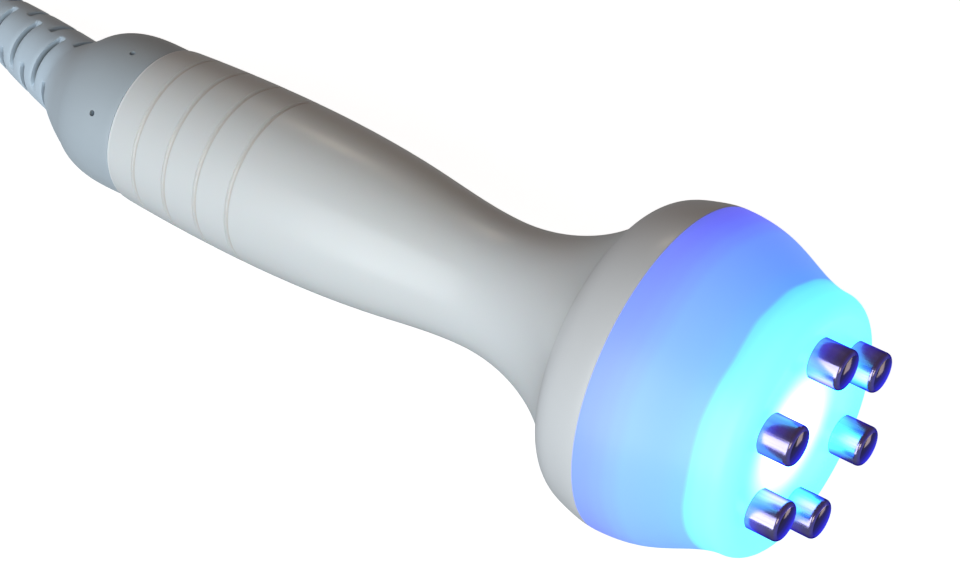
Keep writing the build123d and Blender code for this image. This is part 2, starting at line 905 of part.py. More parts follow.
def build_light():
    keep("led_board", led_board())
    keep("leds", Compound(children=round_axis(led_deg, led())))
    keep("led_resistors", Compound(children=round_axis(led_deg, led_resistor())))
    keep("led_header", led_header())
    keep("led_plug", led_plug())


def build_leads():
    middle = lead_ways // 2
    by_side = sorted(range(electrode_count), key=lambda i: cos(radians(electrode_deg[i])))
    free = [i for i in range(lead_ways) if i not in (middle - 1, middle)]
    for row, i in zip(free, by_side):
        keep(f"electrode_lead_{i + 1}", electrode_lead(electrode_deg[i], lead_row(row)))
    for number, (side, row) in enumerate([(-1, middle - 1), (1, middle)], start=1):
        keep(f"led_lead_{number}", led_lead(side, lead_row(row)))


def build_handle():
    keep("handle_shell", handle_shell())
    keep("board_carrier", board_carrier())
    keep("junction_board", junction_board())
    keep("board_screws", board_screws())
    keep("lead_header", lead_header())
    keep("lead_plug", lead_plug())
    keep("coupling_capacitors", film_caps())
    keep("smoothing_capacitor", round_cap())
    keep("driver_chip", driver_chip())
    keep("cable_terminals", cable_terminals())
    keep("terminal_screws", terminal_screws())


def build_tail():
    keep("tail_plug", tail_plug())
    keep("tail_seal", tail_seal())
    keep("cable_clamp", cable_clamp())
    keep("clamp_screws", clamp_screws())
    keep("tail_boot", tail_boot())


build_head()
build_light()
build_leads()
build_handle()
build_tail()
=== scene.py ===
import math
import bmesh
import bpy
import numpy as np
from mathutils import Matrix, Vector


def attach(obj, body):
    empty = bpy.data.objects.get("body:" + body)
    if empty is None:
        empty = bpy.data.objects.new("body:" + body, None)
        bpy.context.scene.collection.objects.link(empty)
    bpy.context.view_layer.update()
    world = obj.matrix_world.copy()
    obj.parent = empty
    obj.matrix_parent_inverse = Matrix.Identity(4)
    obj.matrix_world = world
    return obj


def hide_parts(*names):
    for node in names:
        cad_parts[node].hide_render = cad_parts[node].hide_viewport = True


# Corded six-electrode beauty handpiece: gloss white handle, lit blue lens, steel electrodes, grey boot
# Pieces are drawn in millimetres: x runs along the handle, 0 at the electrode tips
# The camera, the lamps, the floor and the backdrop are in metres

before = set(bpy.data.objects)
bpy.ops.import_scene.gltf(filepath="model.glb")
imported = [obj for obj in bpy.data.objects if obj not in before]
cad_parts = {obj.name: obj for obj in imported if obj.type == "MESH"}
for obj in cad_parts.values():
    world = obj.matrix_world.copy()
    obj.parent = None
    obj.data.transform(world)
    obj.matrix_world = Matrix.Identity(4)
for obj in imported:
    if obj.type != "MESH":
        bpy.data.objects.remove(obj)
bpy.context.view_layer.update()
bpy.ops.object.select_all(action="DESELECT")
mm = 0.001
weldGap = 0.000004  # metres: points nearer than this are merged
print("frame loaded with", len(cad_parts), "pieces")


# Camera, at the photograph's angle

cameraView = {
    "place": (0.15215, -0.30384, 0.30889),
    "azimuth": 37.428,
    "elevation": 39.202,
    "roll": 0.113,
    "lens": 94.19,
    "sensor": 36.0,
    "clipStart": 0.01,
}


def addCamera(view):
    turn = (math.radians(90 - view["elevation"]), math.radians(view["roll"]), math.radians(view["azimuth"]))
    bpy.ops.object.camera_add(location=view["place"], rotation=turn)
    camera = bpy.context.active_object
    camera.name = "viewCamera"
    camera.data.lens = view["lens"]
    camera.data.sensor_width = view["sensor"]
    camera.data.clip_start = view["clipStart"]
    bpy.context.scene.camera = camera


addCamera(cameraView)
print("camera placed")


# Shader helpers

noiseKinds = {
    "cloud": (3.0, 0.55), "grain": (4.0, 0.6),  # detail and roughness
    "spread": (0.3, 0.7),  # most of a cloud's values lie between these
}
axisAttribute = "axisPlace"  # places on an electrode, measured from its own axis


def newMaterial(name):
    material = bpy.data.materials.new(name)
    material.use_nodes = True
    material.node_tree.nodes.clear()
    output = material.node_tree.nodes.new("ShaderNodeOutputMaterial")
    shader = material.node_tree.nodes.new("ShaderNodeBsdfPrincipled")
    material.node_tree.links.new(shader.outputs["BSDF"], output.inputs["Surface"])
    return material, shader


def addNode(material, kind, settings=None, links=None):
    node = material.node_tree.nodes.new(kind)
    for key, value in (settings or {}).items():
        if hasattr(node, key):
            setattr(node, key, value)
        else:
            node.inputs[key].default_value = value
    for key, source in (links or {}).items():
        material.node_tree.links.new(source, node.inputs[key])
    return node


def link(material, source, node, socket):
    material.node_tree.links.new(source, node.inputs[socket])


def objectPlace(material):
    return addNode(material, "ShaderNodeTexCoord").outputs["Object"]


def splitPlace(material, place):
    node = addNode(material, "ShaderNodeSeparateXYZ", None, {"Vector": place})
    return node.outputs["X"], node.outputs["Y"], node.outputs["Z"]


def mathNode(material, operation, a, b=None):
    node = addNode(material, "ShaderNodeMath", {"operation": operation})
    for slot, value in enumerate((a, b)):
        if value is None:
            continue
        if isinstance(value, (int, float)):
            node.inputs[slot].default_value = value
        else:
            link(material, value, node, slot)
    return node.outputs[0]


def roundDistance(material, a, b):
    squares = [mathNode(material, "MULTIPLY", side, side) for side in (a, b)]
    return mathNode(material, "SQRT", mathNode(material, "ADD", *squares))


def mapRange(material, value, low, high, toLow=0.0, toHigh=1.0, easing="LINEAR"):
    ends = {"From Min": low, "From Max": high, "To Min": toLow, "To Max": toHigh}
    node = addNode(material, "ShaderNodeMapRange", {"interpolation_type": easing, **ends}, {"Value": value})
    return node.outputs[0]


def noiseNode(material, place, scale, detail, roughness=0.5):
    settings = {"Scale": scale, "Detail": detail, "Roughness": roughness}
    return addNode(material, "ShaderNodeTexNoise", settings, {"Vector": place}).outputs["Fac"]


def tintMix(material, share, base, tint):
    # base is a colour of its own or what another node gives
    node = addNode(material, "ShaderNodeMix", {"data_type": "RGBA"}, {0: share})
    if isinstance(base, tuple):
        node.inputs[6].default_value = (*base, 1)
    else:
        link(material, base, node, 6)
    node.inputs[7].default_value = (*tint, 1)
    return node.outputs[2]


def tintAlong(material, x, stops, blend="EASE"):
    # colours at places along x, in millimetres
    low, high = stops[0][0], stops[-1][0]
    ramp = addNode(material, "ShaderNodeValToRGB", None, {"Fac": mapRange(material, x, low * mm, high * mm)})
    ramp.color_ramp.interpolation = blend
    band = ramp.color_ramp.elements
    for i, (at, colour) in enumerate(stops):
        share = (at - low) / (high - low)
        stop = band[i] if i < 2 else band.new(share)
        stop.position = share
        stop.color = (*colour, 1)
    return ramp.outputs["Color"]


def addGlow(material, shader, colour):
    link(material, colour, shader, "Emission Color")
    shader.inputs["Emission Strength"].default_value = 1.0


def addBump(material, shader, height, strength, distance):
    settings = {"Strength": strength, "Distance": distance}
    bump = addNode(material, "ShaderNodeBump", settings, {"Height": height})
    link(material, bump.outputs[0], shader, "Normal")


def paintedSlotShade(material, place, colour, cuts):
    # painted shade: the skin's radius is given along the leaning relief, and what lies under it is painted
    # darker
    settings = {
        "vector_type": "TEXTURE",
        "Location": (cuts["bend"] * mm, 0, 0),
        "Rotation": (0, 0, math.radians(180 - cuts["bendDeg"])),
    }
    local = addNode(material, "ShaderNodeMapping", settings, {"Vector": place})
    along, y, z = splitPlace(material, local.outputs[0])
    skinStops = [(at, (r / cuts["scale"],) * 3) for at, r in cuts["skin"]]
    skin = mathNode(material, "MULTIPLY", tintAlong(material, along, skinStops, "LINEAR"), cuts["scale"] * mm)
    depth = mathNode(material, "SUBTRACT", skin, roundDistance(material, y, z))
    shallow, deep = cuts["fade"]
    share = mapRange(material, depth, shallow * mm, deep * mm, easing="SMOOTHSTEP")
    onRelief = mathNode(material, "GREATER_THAN", along, cuts["skin"][0][0] * mm)
    return tintMix(material, mathNode(material, "MULTIPLY", share, onRelief), colour, cuts["tint"])


def mouldedFinish(name, look):
    # cloudy colour, uneven gloss and a fine skin texture
    material, shader = newMaterial(name)
    place = objectPlace(material)
    stretch = {"Scale": look.get("stretch", (1, 1, 1))}
    stretched = addNode(material, "ShaderNodeMapping", stretch, {"Vector": place}).outputs[0]
    cloud = noiseNode(material, stretched, look["cloud"], *noiseKinds["cloud"])
    grain = noiseNode(material, stretched, look["grain"], *noiseKinds["grain"])
    colour = tintMix(material, cloud, look["colour"], look["shade"])
    if "bands" in look:  # places along x that carry another tint: on the handle, painted shade in the grooves and a painted highlight on the tail edge
        x = splitPlace(material, place)[0]
        for centre, half, core, bandColour in look["bands"]:
            off = mathNode(material, "ABSOLUTE", mathNode(material, "SUBTRACT", x, centre * mm))
            fade = mapRange(material, off, half * mm, core * mm, easing="SMOOTHSTEP")
            colour = tintMix(material, fade, colour, bandColour)
    if "cuts" in look:  # painted shade in the slots, deeper is darker
        colour = paintedSlotShade(material, place, colour, look["cuts"])
    link(material, colour, shader, "Base Color")
    link(material, mapRange(material, cloud, *noiseKinds["spread"], *look["rough"]), shader, "Roughness")
    addBump(material, shader, grain, look["bump"], look["depth"] * mm)
    if "glow" in look:  # painted glow: the lens's blue light on the steel, painted in as emission along x
        addGlow(material, shader, tintAlong(material, splitPlace(material, place)[0], look["glow"]))
    if "side" in look:  # painted light: the domed tip glows blue on one side of its own axis, painted in as emission
        axisPlace = addNode(material, "ShaderNodeAttribute", {"attribute_name": axisAttribute})
        across = addNode(
            material, "ShaderNodeVectorMath", {"operation": "DOT_PRODUCT"}, {0: axisPlace.outputs["Vector"]})
        across.inputs[1].default_value = look["side"]["toward"]
        addGlow(material, shader, tintAlong(material, across.outputs["Value"], look["side"]["stops"]))
    for socket, value in look.get("sockets", {}).items():
        shader.inputs[socket].default_value = value
    return material


# Finishes of the outside: cloud and grain are noise scales, depth is the skin texture's, in millimetres

grooveCentres = (-157.7, -149.03, -140.36, -131.69)
handleLook = {
    "colour": (0.70, 0.73, 0.745), "shade": (0.66, 0.69, 0.705), "cloud": 28.0, "grain": 900.0,
    "rough": (0.30, 0.38), "bump": 0.10, "depth": 0.02,
    "bands": [  # centre, half width, half width of the full tint, tint
        # painted shade in the four grooves
        *[(x, 0.62, 0.0, (0.56, 0.535, 0.505)) for x in grooveCentres],
        # painted highlight along the handle's rounded tail edge
        (-165.4, 0.75, 0.0, (0.92, 0.95, 0.97)),
    ],
    "sockets": {
        "Coat Weight": 0.22, "Coat Roughness": 0.18, "Subsurface Weight": 0.05, "Subsurface Scale": 0.002,
    },
}
cupLook = {
    "colour": (0.66, 0.68, 0.70), "shade": (0.62, 0.64, 0.66), "cloud": 34.0, "grain": 900.0,
    "rough": (0.30, 0.40), "bump": 0.10, "depth": 0.02,
    "sockets": {"Coat Weight": 0.25, "Coat Roughness": 0.18},
}
bootLook = {
    "colour": (0.43, 0.50, 0.56), "shade": (0.40, 0.465, 0.52), "cloud": 60.0, "grain": 1600.0,
    "rough": (0.48, 0.60), "bump": 0.25, "depth": 0.05,
    "bands": [(-214.0, 29.0, 20.0, (0.52, 0.63, 0.73))],
    # painted shade in the slots: the deeper under the relief's skin, the darker the rubber is painted
    "cuts": {
        "bend": -186.2, "bendDeg": 12.2, "scale": 20.0, "fade": (0.35, 1.6), "tint": (0.17, 0.20, 0.22),
        "skin": [(3.3, 10.0), (8.0, 9.15), (20.0, 8.2), (49.0, 4.95)],
    },
    "sockets": {"Sheen Weight": 0.15, "Sheen Roughness": 0.5},
}

# Electrode metal: turned steel, dark where it sees the room and streaked along its length; its blue-violet
# tint and blue edge tint are painted reflections of the lens's light
steelLook = {
    "colour": (0.46, 0.42, 0.66), "shade": (0.20, 0.17, 0.40), "stretch": (0.06, 1, 1),
    "cloud": 900.0, "grain": 2600.0, "rough": (0.14, 0.25), "bump": 0.55, "depth": 0.04,
    # painted glow: the lens's blue light on the steel, as emission along x
    "glow": [
        (-6.8, (0.040, 0.060, 0.78)), (-5.2, (0.024, 0.020, 0.50)), (-3.4, (0.014, 0.008, 0.20)),
        (-1.6, (0.004, 0.003, 0.06)), (-0.9, (0.002, 0.001, 0.03)), (-0.3, (0.003, 0.002, 0.16)),
    ],
    "sockets": {"Metallic": 1.0, "Specular Tint": (0.12, 0.08, 1.0, 1)},
}
# Electrode tips: dark steel, with a painted blue glow on one side standing in for the lens's light
tipLook = {
    "colour": (0.11, 0.10, 0.10), "shade": (0.08, 0.072, 0.08), "cloud": 300.0, "grain": 2600.0,
    "rough": (0.06, 0.11), "bump": 0.08, "depth": 0.01,
    # painted light: emission that is blue on one side of the tip
    "side": {
        "toward": (0.0, 0.47, -0.883),
        "stops": [
            (-3.1, (0.002, 0.001, 0.02)), (-1.4, (0.003, 0.002, 0.09)), (0.0, (0.004, 0.003, 0.28)),
            (1.3, (0.005, 0.005, 0.60)), (2.9, (0.010, 0.010, 0.90)),
        ],
    },
    "sockets": {"Metallic": 1.0, "Specular Tint": (0.6, 0.58, 0.60, 1)},
}

# Lens: milky plastic that is lit from inside, violet at the rim and cyan past the step
lensGlow = {
    "skin": (0.22, 0.41, 0.64), "rough": (0.34, 0.46),
    "cloud": 45.0, "cloudDetail": 2.0, "drift": 2.2,
    "grain": 1400.0, "grainDetail": 3.0, "bump": 0.15, "depth": 0.03,
    "stops": [
        (-35.2, (0.080, 0.065, 0.72)), (-32.6, (0.090, 0.075, 0.84)), (-30.0, (0.095, 0.110, 0.90)),
        (-27.6, (0.100, 0.165, 0.92)), (-25.0, (0.100, 0.225, 0.94)), (-20.0, (0.090, 0.240, 0.95)),
        (-15.4, (0.075, 0.270, 0.96)), (-14.2, (0.085, 0.660, 1.00)), (-12.8, (0.110, 0.800, 1.00)),
        (-8.5, (0.140, 1.000, 1.15)), (-6.8, (0.170, 1.100, 1.25)),
    ],
    "spotDepth": (-9.5, -6.9),
    "spots": [  # reach: where the spot ends, and up to where it is full
        {"place": (0.0, 0.0), "reach": (22.0, 11.0), "light": (0.24, 3.6, 4.0)},
        {"place": (-4.5, 3.0), "reach": (17.0, 0.0), "light": (2.7, 3.3, 3.4)},
    ],
}


def lensFinish(name, look):
    material, shader = newMaterial(name)
    place = objectPlace(material)
    x, y, z = splitPlace(material, place)
    cloud = noiseNode(material, place, look["cloud"], look["cloudDetail"])
    drift = mathNode(material, "MULTIPLY", mathNode(material, "SUBTRACT", cloud, 0.5), look["drift"] * mm)
    tint = tintAlong(material, mathNode(material, "ADD", x, drift), look["stops"])
    # the light sits behind the middle of the front and washes it out
    deep, shallow = look["spotDepth"]
    face = mapRange(material, x, deep * mm, shallow * mm, easing="SMOOTHSTEP")
    for spot in look["spots"]:
        across = mathNode(material, "SUBTRACT", y, spot["place"][0] * mm)
        upward = mathNode(material, "SUBTRACT", z, spot["place"][1] * mm)
        away = roundDistance(material, across, upward)
        edge, core = spot["reach"]
        disc = mapRange(material, away, edge * mm, core * mm, easing="SMOOTHERSTEP")
        tint = tintMix(material, mathNode(material, "MULTIPLY", disc, face), tint, spot["light"])
    addGlow(material, shader, tint)
    shader.inputs["Base Color"].default_value = (*look["skin"], 1)
    link(material, mapRange(material, cloud, *noiseKinds["spread"], *look["rough"]), shader, "Roughness")
    grain = noiseNode(material, place, look["grain"], look["grainDetail"])
    addBump(material, shader, grain, look["bump"], look["depth"] * mm)
    return material


handleFinish = mouldedFinish("handleGloss", handleLook)
cupFinish = mouldedFinish("cupGloss", cupLook)
bootFinish = mouldedFinish("bootRubber", bootLook)
steelFinish = mouldedFinish("electrodeSteel", steelLook)
tipFinish = mouldedFinish("electrodeTip", tipLook)
glowFinish = lensFinish("lensGlow", lensGlow)
print("outside finishes ready")


# Shape helpers

def smoothRun(points, slopeIn, slopeOut, gap):
    # a clamped cubic through (x, radius) points, read at nearly even gaps
    p = np.array(points, float)
    chord = np.linalg.norm(np.diff(p, axis=0), axis=1)
    t = np.concatenate([[0.0], np.cumsum(chord)])
    count = len(p)
    table = np.zeros((count, count))
    right = np.zeros((count, 2))
    table[0, 0] = table[-1, -1] = 1.0
    right[0] = np.array(slopeIn, float) / np.hypot(*slopeIn)
    right[-1] = np.array(slopeOut, float) / np.hypot(*slopeOut)
    for i in range(1, count - 1):
        before, after = t[i] - t[i - 1], t[i + 1] - t[i]
        table[i, i - 1:i + 2] = after, 2 * (before + after), before
        right[i] = 3 * (after * (p[i] - p[i - 1]) / before + before * (p[i + 1] - p[i]) / after)
    slope = np.linalg.solve(table, right)
    run = [tuple(p[0])]
    for i in range(count - 1):
        steps = max(2, int(round(chord[i] / gap)))
        for k in range(1, steps + 1):
            u = k / steps
            a = (2 * u**3 - 3 * u**2 + 1) * p[i] + (3 * u**2 - 2 * u**3) * p[i + 1]
            b = chord[i] * ((u**3 - 2 * u**2 + u) * slope[i] + (u**3 - u**2) * slope[i + 1])
            run.append(tuple(a + b))
    return run


def arcRun(centre, radius, startDeg, endDeg, steps):
    turns = [math.radians(startDeg + (endDeg - startDeg) * k / steps) for k in range(steps + 1)]
    return [(centre[0] + radius * math.cos(a), centre[1] + radius * math.sin(a)) for a in turns]


def pickAlone(piece):
    bpy.ops.object.select_all(action="DESELECT")
    piece.select_set(True)
    bpy.context.view_layer.objects.active = piece


def editOn(piece):
    pickAlone(piece)
    bpy.ops.object.mode_set(mode="EDIT")


def editOff():
    bpy.ops.object.mode_set(mode="OBJECT")


def closeMesh():
    # welds what meets, turns the faces outward and leaves edit mode
    bpy.ops.mesh.select_all(action="SELECT")
    bpy.ops.mesh.remove_doubles(threshold=weldGap)
    bpy.ops.mesh.normals_make_consistent(inside=False)
    editOff()


def settle(piece):
    pickAlone(piece)
    bpy.ops.object.transform_apply(location=True, rotation=True, scale=True)


def smooth(piece, degrees):
    pickAlone(piece)
    bpy.ops.object.shade_smooth_by_angle(angle=math.radians(degrees))
    piece.select_set(False)


def turnPiece(name, rings, sides, capped=False):
    # a circle is drawn out ring by ring along x: capped is a solid, otherwise the last ring meets the first
    x, radius = rings[0]
    bpy.ops.mesh.primitive_circle_add(
        vertices=sides, radius=radius * mm, fill_type="TRIFAN" if capped else "NOTHING",
        location=(x * mm, 0, 0), rotation=(0, math.pi / 2, 0))
    piece = bpy.context.active_object
    piece.name = name
    settle(piece)
    editOn(piece)
    bpy.ops.mesh.select_all(action="SELECT")
    for (xOld, rOld), (xNew, rNew) in zip(rings, rings[1:]):
        bpy.ops.mesh.extrude_region_move(TRANSFORM_OT_translate={"value": ((xNew - xOld) * mm, 0, 0)})
        grow = rNew / rOld
        bpy.ops.transform.resize(value=(1, grow, grow), center_override=(xNew * mm, 0, 0))
    closeMesh()
    return piece


def cutWith(piece, cutter):
    pickAlone(piece)
    cut = piece.modifiers.new("cut", "BOOLEAN")
    cut.operation = "DIFFERENCE"
    cut.solver = "EXACT"
    cut.object = cutter
    bpy.ops.object.modifier_apply(modifier=cut.name)
    bpy.data.objects.remove(cutter)


# Handle: belly, waist and flare, with four turned grooves near the boot

handleShape = {
    "back": [(-165.7, 17.15), (-138.7, 18.0), (-100.0, 15.85), (-77.5, 13.55)], "backGap": 1.4,
    "flare": [(-77.5, 13.55), (-60.0, 17.45), (-47.0, 27.2)], "flareGap": 0.9,
    "tailSlope": 0.06, "flareSlope": 1.15,
    "tailEdge": 0.7, "tailEdgeDeg": (180, 92), "tailEdgeSteps": 6, "tailClear": 0.3,
    "grooves": grooveCentres, "grooveHalf": 0.572, "grooveRound": 0.6, "grooveDepth": 0.42,
    "grooveSteps": (0.18, 0.36, 0.5), "grooveLips": (0.03, 0.25), "grooveClear": 0.5,
    "bore": [
        (-47.0, 22.6), (-58.0, 13.6), (-68.0, 10.9), (-97.0, 10.9),
        (-97.0, 13.2), (-150.7, 13.2), (-150.7, 14.4), (-165.7, 14.4),
    ],
    "sides": 160, "smoothDeg": 30,
}


def cutGrooves(outside, back, shape):
    # near each groove the even stations make room for its own
    xs, rs = [x for x, r in back], [r for x, r in back]
    half = shape["grooveHalf"]
    lift = shape["grooveRound"] - shape["grooveDepth"]
    steps = [*shape["grooveSteps"], *[half + lip for lip in shape["grooveLips"]]]
    for centre in shape["grooves"]:
        outside = [(x, r) for x, r in outside if abs(x - centre) > half + shape["grooveClear"]]
        for off in [0.0, *steps, *[-step for step in steps]]:
            dip = math.sqrt(max(shape["grooveRound"] ** 2 - off**2, 0)) - lift if abs(off) < half else 0.0
            outside.append((centre + off, float(np.interp(centre + off, xs, rs)) - dip))
    return sorted(outside)


def makeHandle(shape):
    back = smoothRun(shape["back"], (1, shape["tailSlope"]), (1, 0), shape["backGap"])
    flare = smoothRun(shape["flare"], (1, 0), (1, shape["flareSlope"]), shape["flareGap"])
    edge = shape["tailEdge"]
    xTail, rTail = shape["back"][0]
    rings = [(xTail, rTail - edge)]
    rings += arcRun((xTail + edge, rTail - edge), edge, *shape["tailEdgeDeg"], shape["tailEdgeSteps"])[1:]
    outside = [(x, r) for x, r in back if x > xTail + edge + shape["tailClear"]]
    rings += cutGrooves(outside, back, shape) + flare[1:] + shape["bore"]
    rings.append(rings[0])
    handle = turnPiece("handle", rings, shape["sides"])
    handle.data.materials.append(handleFinish)
    smooth(handle, shape["smoothDeg"])
    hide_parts("handle_shell")
    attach(handle, "root")


makeHandle(handleShape)
print("handle turned")


# Cup: white ring between the handle's flare and the lens

cupShape = {
    "back": (-47.0, 27.9), "rim": (-35.2, 33.15), "gap": 0.5,
    "swell": [(0.22, 0.54), (0.58, 0.84)],  # shares of the way from back to rim, in x and in radius
    "backSlope": (0.4, 1), "rimSlope": (1, 0.02),
    "backLip": [(0.0, 0.45), (0.03, 0.225), (0.12, 0.0)],  # in from the back, and down in radius
    "rimLip": [(0.12, 0.01), (0.0, 0.10)],
    "backClear": 0.3, "rimClear": 0.2,
    "inside": [(-35.2, 31.0), (-40.4, 31.0), (-40.4, 29.7), (-43.8, 29.7), (-43.8, 14.5), (-47.0, 14.5)],
    "sides": 160, "smoothDeg": 30,
}


def makeCup(shape):
    (xBack, rBack), (xRim, rRim) = shape["back"], shape["rim"]
    middle = [(xBack + (xRim - xBack) * u, rBack + (rRim - rBack) * v) for u, v in shape["swell"]]
    line = [shape["back"], *middle, shape["rim"]]
    outside = smoothRun(line, shape["backSlope"], shape["rimSlope"], shape["gap"])
    rings = [(xBack + off, rBack - drop) for off, drop in shape["backLip"]]
    rings += [(x, r) for x, r in outside if xBack + shape["backClear"] < x < xRim - shape["rimClear"]]
    rings += [(xRim - off, rRim - drop) for off, drop in shape["rimLip"]] + shape["inside"]
    rings.append(rings[0])
    cup = turnPiece("cup", rings, shape["sides"])
    cup.data.materials.append(cupFinish)
    smooth(cup, shape["smoothDeg"])
    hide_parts("head_cup")
    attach(cup, "root")


makeCup(cupShape)
print("cup turned")


# Lens: dome, soft step and front boss, with six holes for the electrodes

electrodeRing = {"count": 6, "circle": 17.0, "firstDeg": 83.6}
electrodeNumbers = range(1, electrodeRing["count"] + 1)
lensShape = {
    "dome": [(-35.2, 33.15), (-26.0, 31.85), (-15.0, 27.35), (-10.8, 26.5)], "domeGap": 0.7,
    "frontSlope": -0.06, "corner": 4.0, "cornerSteps": 10, "front": -6.8,
    "hollow": [(-9.2, 23.7), (-17.3, 26.05), (-26.0, 28.95)], "hollowSlopes": (0.3, 0.12), "hollowGap": 2.0,
    "spigot": [(-39.8, 28.75), (-39.8, 30.85), (-35.35, 30.85)],
    "rim": [(-35.2, 33.05), (-35.1, 33.15)],
    "holeR": 2.12, "holeDepth": 4.0, "recessR": 3.45, "recessDepth": 0.6, "drillLift": 1.0, "drillSides": 48,
    "sides": 160, "smoothDeg": 30,
}


def ringPlaces(ring):
    turns = [math.radians(ring["firstDeg"] + 360.0 * i / ring["count"]) for i in range(ring["count"])]
    return [(ring["circle"] * math.cos(a), ring["circle"] * math.sin(a)) for a in turns]


def makeLens(shape, ring):
    dome = smoothRun(shape["dome"], (1, 0), (1, shape["frontSlope"]), shape["domeGap"])
    xEnd, rEnd = shape["dome"][-1]
    corner = arcRun((xEnd, rEnd - shape["corner"]), shape["corner"], 90, 0, shape["cornerSteps"])
    slopeIn, slopeOut = shape["hollowSlopes"]
    hollow = smoothRun(shape["hollow"], (-1, slopeIn), (-1, slopeOut), shape["hollowGap"])
    rings = hollow + shape["spigot"] + shape["rim"] + dome[1:] + corner[1:]
    lens = turnPiece("lens", rings, shape["sides"], capped=True)
    lift = shape["drillLift"]
    for y, z in ringPlaces(ring):
        for radius, depth in ((shape["holeR"], shape["holeDepth"]), (shape["recessR"], shape["recessDepth"])):
            middle = Vector((shape["front"] - depth / 2 + lift / 2, y, z))
            bpy.ops.mesh.primitive_cylinder_add(
                vertices=shape["drillSides"], radius=radius * mm, depth=(depth + lift) * mm,
                location=middle * mm, rotation=(0, math.pi / 2, 0))
            cutWith(lens, bpy.context.active_object)
    lens.data.materials.append(glowFinish)
    smooth(lens, shape["smoothDeg"])
    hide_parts("lens_cover")
    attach(lens, "root")


makeLens(lensShape, electrodeRing)
print("lens turned and drilled")


# Electrodes: turned once, then copied round the ring

electrodeShape = {
    "shankEnd": -22.4, "shankR": 2.0, "shankEdge": 0.3,
    "front": -6.8, "r": 4.0, "footEdge": 0.15, "sideStations": (-6.2, -4.8, -3.2, -1.9, -1.5),
    "edge": 1.0, "edgeEndDeg": 11.4, "edgeSteps": 8,
    "domeSteps": 8, "poleShare": 12,  # the last ring has a twelfth of the dome's radius
    "sides": 72, "smoothDeg": 40,
}


def makeElectrodes(shape, ring):
    # the tip is a shallow dome that meets the rounded edge at one slope
    front, r, foot, edge = shape["front"], shape["r"], shape["footEdge"], shape["edge"]
    shankEnd, shankR, shankEdge = shape["shankEnd"], shape["shankR"], shape["shankEdge"]
    slope = math.radians(shape["edgeEndDeg"])
    rDome = r - edge + edge * math.sin(slope)
    ball = rDome / math.sin(slope)
    sag = ball * (1 - math.cos(slope))
    xEdge = -sag - edge * math.cos(slope)
    rings = [(shankEnd, shankR - shankEdge), (shankEnd + shankEdge, shankR), (front, shankR)]
    rings += [(front, r - foot), (front + foot, r)] + [(x, r) for x in shape["sideStations"]]
    rings += arcRun((xEdge, r - edge), edge, 90, shape["edgeEndDeg"], shape["edgeSteps"])
    rings += arcRun((-ball, 0), ball, shape["edgeEndDeg"], 0, shape["domeSteps"])[1:-1]
    rings.append((0.0, rDome / shape["poleShare"]))
    model = turnPiece("electrodeModel", rings, shape["sides"], capped=True)
    model.data.materials.append(steelFinish)
    model.data.materials.append(tipFinish)
    for face in model.data.polygons:
        if face.center.x > -sag * mm:
            face.material_index = 1
    axisPlace = model.data.attributes.new(axisAttribute, "FLOAT_VECTOR", "POINT")
    for vertex in model.data.vertices:
        axisPlace.data[vertex.index].vector = vertex.co
    smooth(model, shape["smoothDeg"])
    for number, (y, z) in enumerate(ringPlaces(ring), start=1):
        piece = model.copy()
        piece.data = model.data.copy()
        piece.name = f"electrode{number}"
        bpy.context.collection.objects.link(piece)
        piece.location = (0, y * mm, z * mm)
        settle(piece)
        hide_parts(f"electrode_{number}")
        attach(piece, "root")
    bpy.data.objects.remove(model)


makeElectrodes(electrodeShape, electrodeRing)
print("electrodes placed")


# Boot: bulb, bent root and tapered strain relief with saw-cut slots
# Its runs are (place on the middle line, radius): plus toward the handle, minus toward the cable

bootShape = {
    "bend": -186.2, "bendDeg": 12.2, "bendR": 30.0, "length": 49.8, "leastTurn": 0.000001,
    "bulb": [(20.45, 16.8), (8.2, 16.3), (3.206, 14.3)], "bulbSlopes": (-0.005, -0.68), "bulbGap": 0.9,
    "root": [(3.206, 14.3), (0.0, 12.2), (-3.206, 10.25)], "rootGap": 0.6,
    "relief": [(-3.206, 10.25), (-8.0, 9.2), (-20.0, 8.3), (-49.0, 5.0)],
    "reliefSlopes": (-0.586, -0.11), "reliefGap": 1.0,
    "frontEdge": 0.2, "frontEdgeTurns": (0.5, 1.0), "firstStation": 19.5,
    "endEdge": 0.8, "endEdgeTurns": (0.4, 0.8, 1.2, math.pi / 2),
    "cableR": 3.3, "boreStations": (-40.0, -30.0, -20.0, -10.0, -5.0, -3.2, -2.0),
    "cavity": [(-1.0, 3.3), (5.7, 13.4), (18.0, 13.4), (18.0, 15.15), (20.45, 15.15)],
    "slotFirst": 5.2, "slotPitch": 4.82, "slots": 8, "slotHalf": 0.6, "slotRound": 0.28, "slotSoft": 0.22,
    "slotSteps": (3, 1, 0, -0.5), "slotMiddle": 0.2, "slotClear": 0.3,  # stations at each slot
    "slotWall": 0.5, "slotLip": 1.5, "slotRim": 0.5,  # wall and lip in shares of slotRound
    "slotDeg": (34.0, 135.0), "slotHalfDeg": (56.0, 42.0), "slotFloor": 4.5, "slotCore": 4.0,
    "slotSkin": (9.2, 5.0),
    "pinX": -171.4, "pinDeg": (94.0, 148.0, 274.0, 328.0), "pinR": 0.65, "pinDepth": 1.8,
    "pinSkin": 16.9, "pinSides": 24,
    "sides": 144, "smoothDeg": 38,
}


